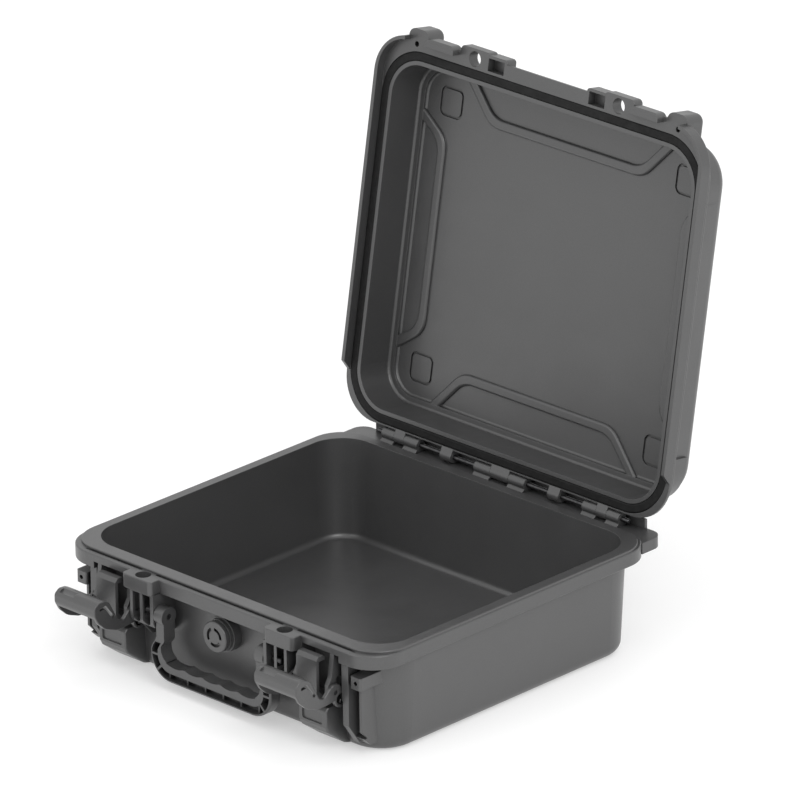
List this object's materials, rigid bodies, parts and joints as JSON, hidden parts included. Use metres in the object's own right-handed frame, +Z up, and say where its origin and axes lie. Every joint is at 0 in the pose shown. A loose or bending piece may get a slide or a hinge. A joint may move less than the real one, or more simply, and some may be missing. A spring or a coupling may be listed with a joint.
{
  "type": "drone carrying case",
  "caption": "Hard plastic clamshell carrying case for a drone, lid hinged open, with two draw latches, a swing handle, padlock lugs and a pressure valve.",
  "frame": {"origin": "on the underside plane, below the middle of the tray's opening", "axes": "+Z up, +X to the right and +Y to the back, seen from the handle's side; the lid stands open at rest"},
  "size_m": [0.3592, 0.4632, 0.4277],
  "materials": {
    "case_plastic": "fine grained charcoal moulding",
    "handle_plastic": "satin charcoal moulding",
    "latch_plastic": "satin charcoal moulding",
    "valve_plastic": "satin",
    "seal_rubber": "matt",
    "pin_steel": "drawn rod",
    "membrane_fabric": "pressed porous sheet"
  },
  "bodies": {
    "base": {"base_shell": "case_plastic", "hinge_pin_left": "pin_steel", "hinge_pin_right": "pin_steel", "handle_pin_left": "pin_steel", "handle_pin_right": "pin_steel", "lever_pins_left": "pin_steel", "lever_pins_right": "pin_steel", "valve_body": "valve_plastic", "valve_seal": "seal_rubber", "valve_membrane": "membrane_fabric", "valve_nut": "valve_plastic"},
    "lid": {"lid_shell": "case_plastic", "lid_seal": "seal_rubber"},
    "handle": {"handle": "handle_plastic"},
    "lever_left": {"latch_lever_left": "latch_plastic"},
    "lever_right": {"latch_lever_right": "latch_plastic"},
    "claw_carrier_left": {"claw_pin_left": "pin_steel"},
    "claw_carrier_right": {"claw_pin_right": "pin_steel"},
    "claw_left": {"latch_claw_left": "latch_plastic"},
    "claw_right": {"latch_claw_right": "latch_plastic"},
    "knob": {"valve_knob": "valve_plastic"}
  },
  "joints": [
    {"name": "lid_hinge", "type": "hinge", "parent": "base", "child": "lid", "pos_m": [0, 0.163, 0.096], "axis": [1, 0, 0], "range_deg": [0, 100.2]},
    {"name": "handle_swing", "type": "hinge", "parent": "base", "child": "handle", "pos_m": [0, -0.1635, 0.062], "axis": [-1, 0, 0], "range_deg": [0, 115]},
    {"name": "valve_turn", "type": "hinge", "parent": "base", "child": "knob", "pos_m": [0, -0.16, 0.06], "axis": [0, 1, 0], "range_deg": [0, 180]},
    {"name": "lever_left", "type": "hinge", "parent": "base", "child": "lever_left", "pos_m": [-0.112, -0.165, 0.054], "axis": [1, 0, 0], "range_deg": [0, 100]},
    {"name": "claw_lift_left", "type": "slide", "parent": "base", "child": "claw_carrier_left", "axis": [0, 0, 1], "range_m": [0, 0.018]},
    {"name": "claw_swing_left", "type": "hinge", "parent": "claw_carrier_left", "child": "claw_left", "pos_m": [-0.112, -0.1585, 0.045], "axis": [1, 0, 0], "range_deg": [0, 12]},
    {"name": "lever_right", "type": "hinge", "parent": "base", "child": "lever_right", "pos_m": [0.112, -0.165, 0.054], "axis": [1, 0, 0], "range_deg": [0, 100]},
    {"name": "claw_lift_right", "type": "slide", "parent": "base", "child": "claw_carrier_right", "axis": [0, 0, 1], "range_m": [0, 0.018]},
    {"name": "claw_swing_right", "type": "hinge", "parent": "claw_carrier_right", "child": "claw_right", "pos_m": [0.112, -0.1585, 0.045], "axis": [1, 0, 0], "range_deg": [0, 12]}
  ],
  "couplings": [
    {"joint": "claw_lift_left", "follows": "lever_left", "m_per_rad": 0.01031},
    {"joint": "claw_lift_right", "follows": "lever_right", "m_per_rad": 0.01031}
  ]
}
